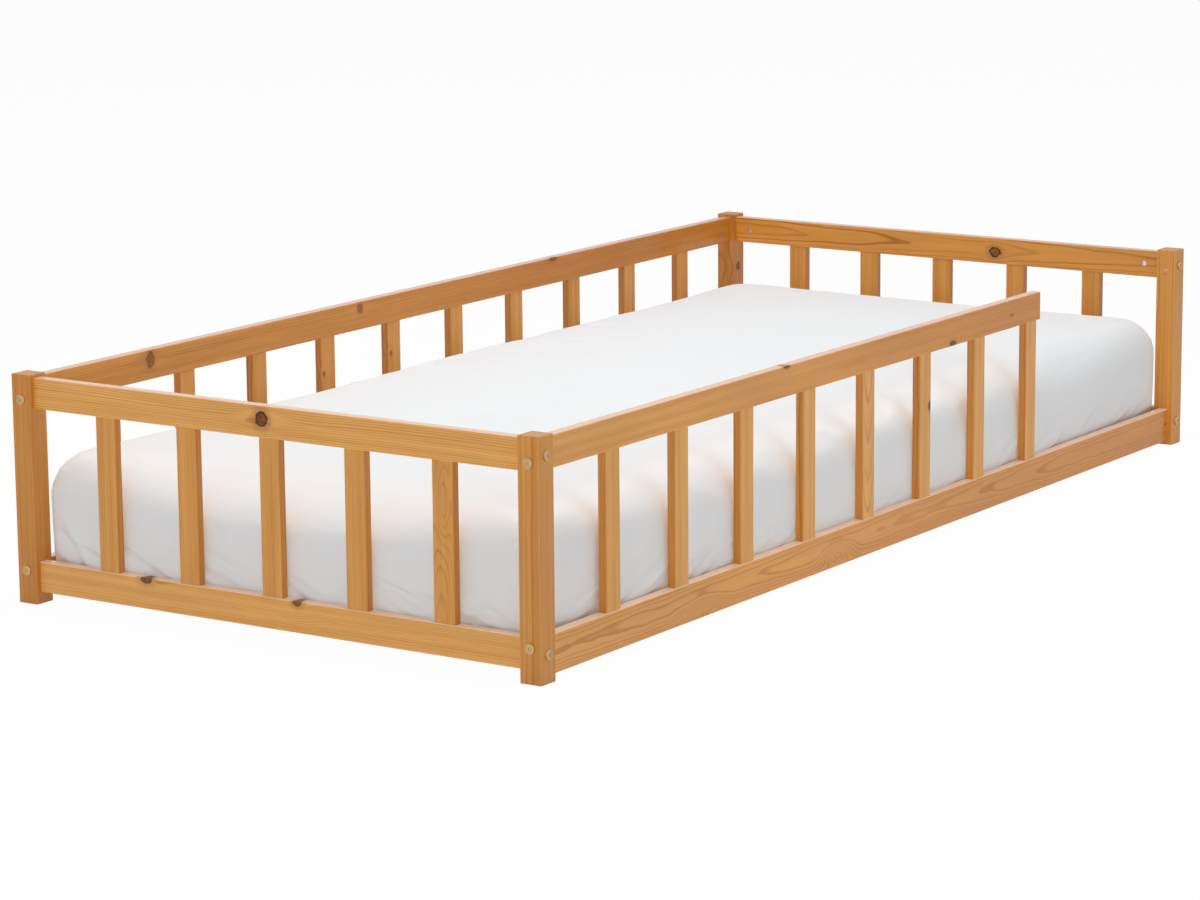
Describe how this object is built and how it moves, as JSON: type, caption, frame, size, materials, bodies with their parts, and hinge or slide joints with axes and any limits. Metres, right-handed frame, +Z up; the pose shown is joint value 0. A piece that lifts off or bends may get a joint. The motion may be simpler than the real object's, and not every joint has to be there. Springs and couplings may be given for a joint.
{
  "type": "toddler bed",
  "caption": "Low floor-standing toddler bed of stained pine with slatted guard sides, an entry gap in one long side, a slatted base and a mattress in a fitted sheet.",
  "frame": {"origin": "on the floor under the centre of the bed's box", "axes": "+X along the bed towards its head, +Y from the side with the entry gap towards the back side, +Z up"},
  "size_m": [2.081, 0.981, 0.358],
  "materials": {
    "stained_pine": "honey stained pine under a satin clear lacquer, with dark knots",
    "plain_pine": "planed pine, unstained",
    "beech": "plain beech dowel",
    "antique_brass": "dull antique brass plating",
    "zinc_steel": "bright zinc plating",
    "tan_plastic": "wood-coloured moulded plastic",
    "mattress_ticking": "plain woven ticking, quilted",
    "white_cotton": "white cotton jersey"
  },
  "bodies": {
    "frame": {"post_foot_front": "stained_pine", "post_foot_back": "stained_pine", "post_head_front": "stained_pine", "post_head_back": "stained_pine", "foot_top_rail": "stained_pine", "foot_bottom_rail": "stained_pine", "head_top_rail": "stained_pine", "head_bottom_rail": "stained_pine", "back_top_rail": "stained_pine", "back_bottom_rail": "stained_pine", "front_top_rail": "stained_pine", "front_bottom_rail": "stained_pine", "foot_slat_1": "stained_pine", "foot_slat_2": "stained_pine", "foot_slat_3": "stained_pine", "foot_slat_4": "stained_pine", "foot_slat_5": "stained_pine", "head_slat_1": "stained_pine", "head_slat_2": "stained_pine", "head_slat_3": "stained_pine", "head_slat_4": "stained_pine", "head_slat_5": "stained_pine", "back_slat_1": "stained_pine", "back_slat_2": "stained_pine", "back_slat_3": "stained_pine", "back_slat_4": "stained_pine", "back_slat_5": "stained_pine", "back_slat_6": "stained_pine", "back_slat_7": "stained_pine", "back_slat_8": "stained_pine", "back_slat_9": "stained_pine", "back_slat_10": "stained_pine", "front_slat_1": "stained_pine", "front_slat_2": "stained_pine", "front_slat_3": "stained_pine", "front_slat_4": "stained_pine", "front_slat_5": "stained_pine", "front_slat_6": "stained_pine", "front_slat_7": "stained_pine", "front_slat_8": "stained_pine", "front_cleat": "plain_pine", "back_cleat": "plain_pine", "base_slat_1": "plain_pine", "base_slat_2": "plain_pine", "base_slat_3": "plain_pine", "base_slat_4": "plain_pine", "base_slat_5": "plain_pine", "base_slat_6": "plain_pine", "base_slat_7": "plain_pine", "base_slat_8": "plain_pine", "base_slat_9": "plain_pine", "base_slat_10": "plain_pine", "base_slat_11": "plain_pine", "connector_bolts": "antique_brass", "barrel_nuts": "zinc_steel", "rail_dowels": "beech", "hole_caps": "tan_plastic", "wood_screws": "zinc_steel"},
    "mattress": {"mattress": "mattress_ticking", "fitted_sheet": "white_cotton"}
  },
  "joints": [
    {"name": "mattress_lift", "type": "slide", "parent": "frame", "child": "mattress", "axis": [0, 0, 1], "range_m": [0, 0.32]}
  ]
}
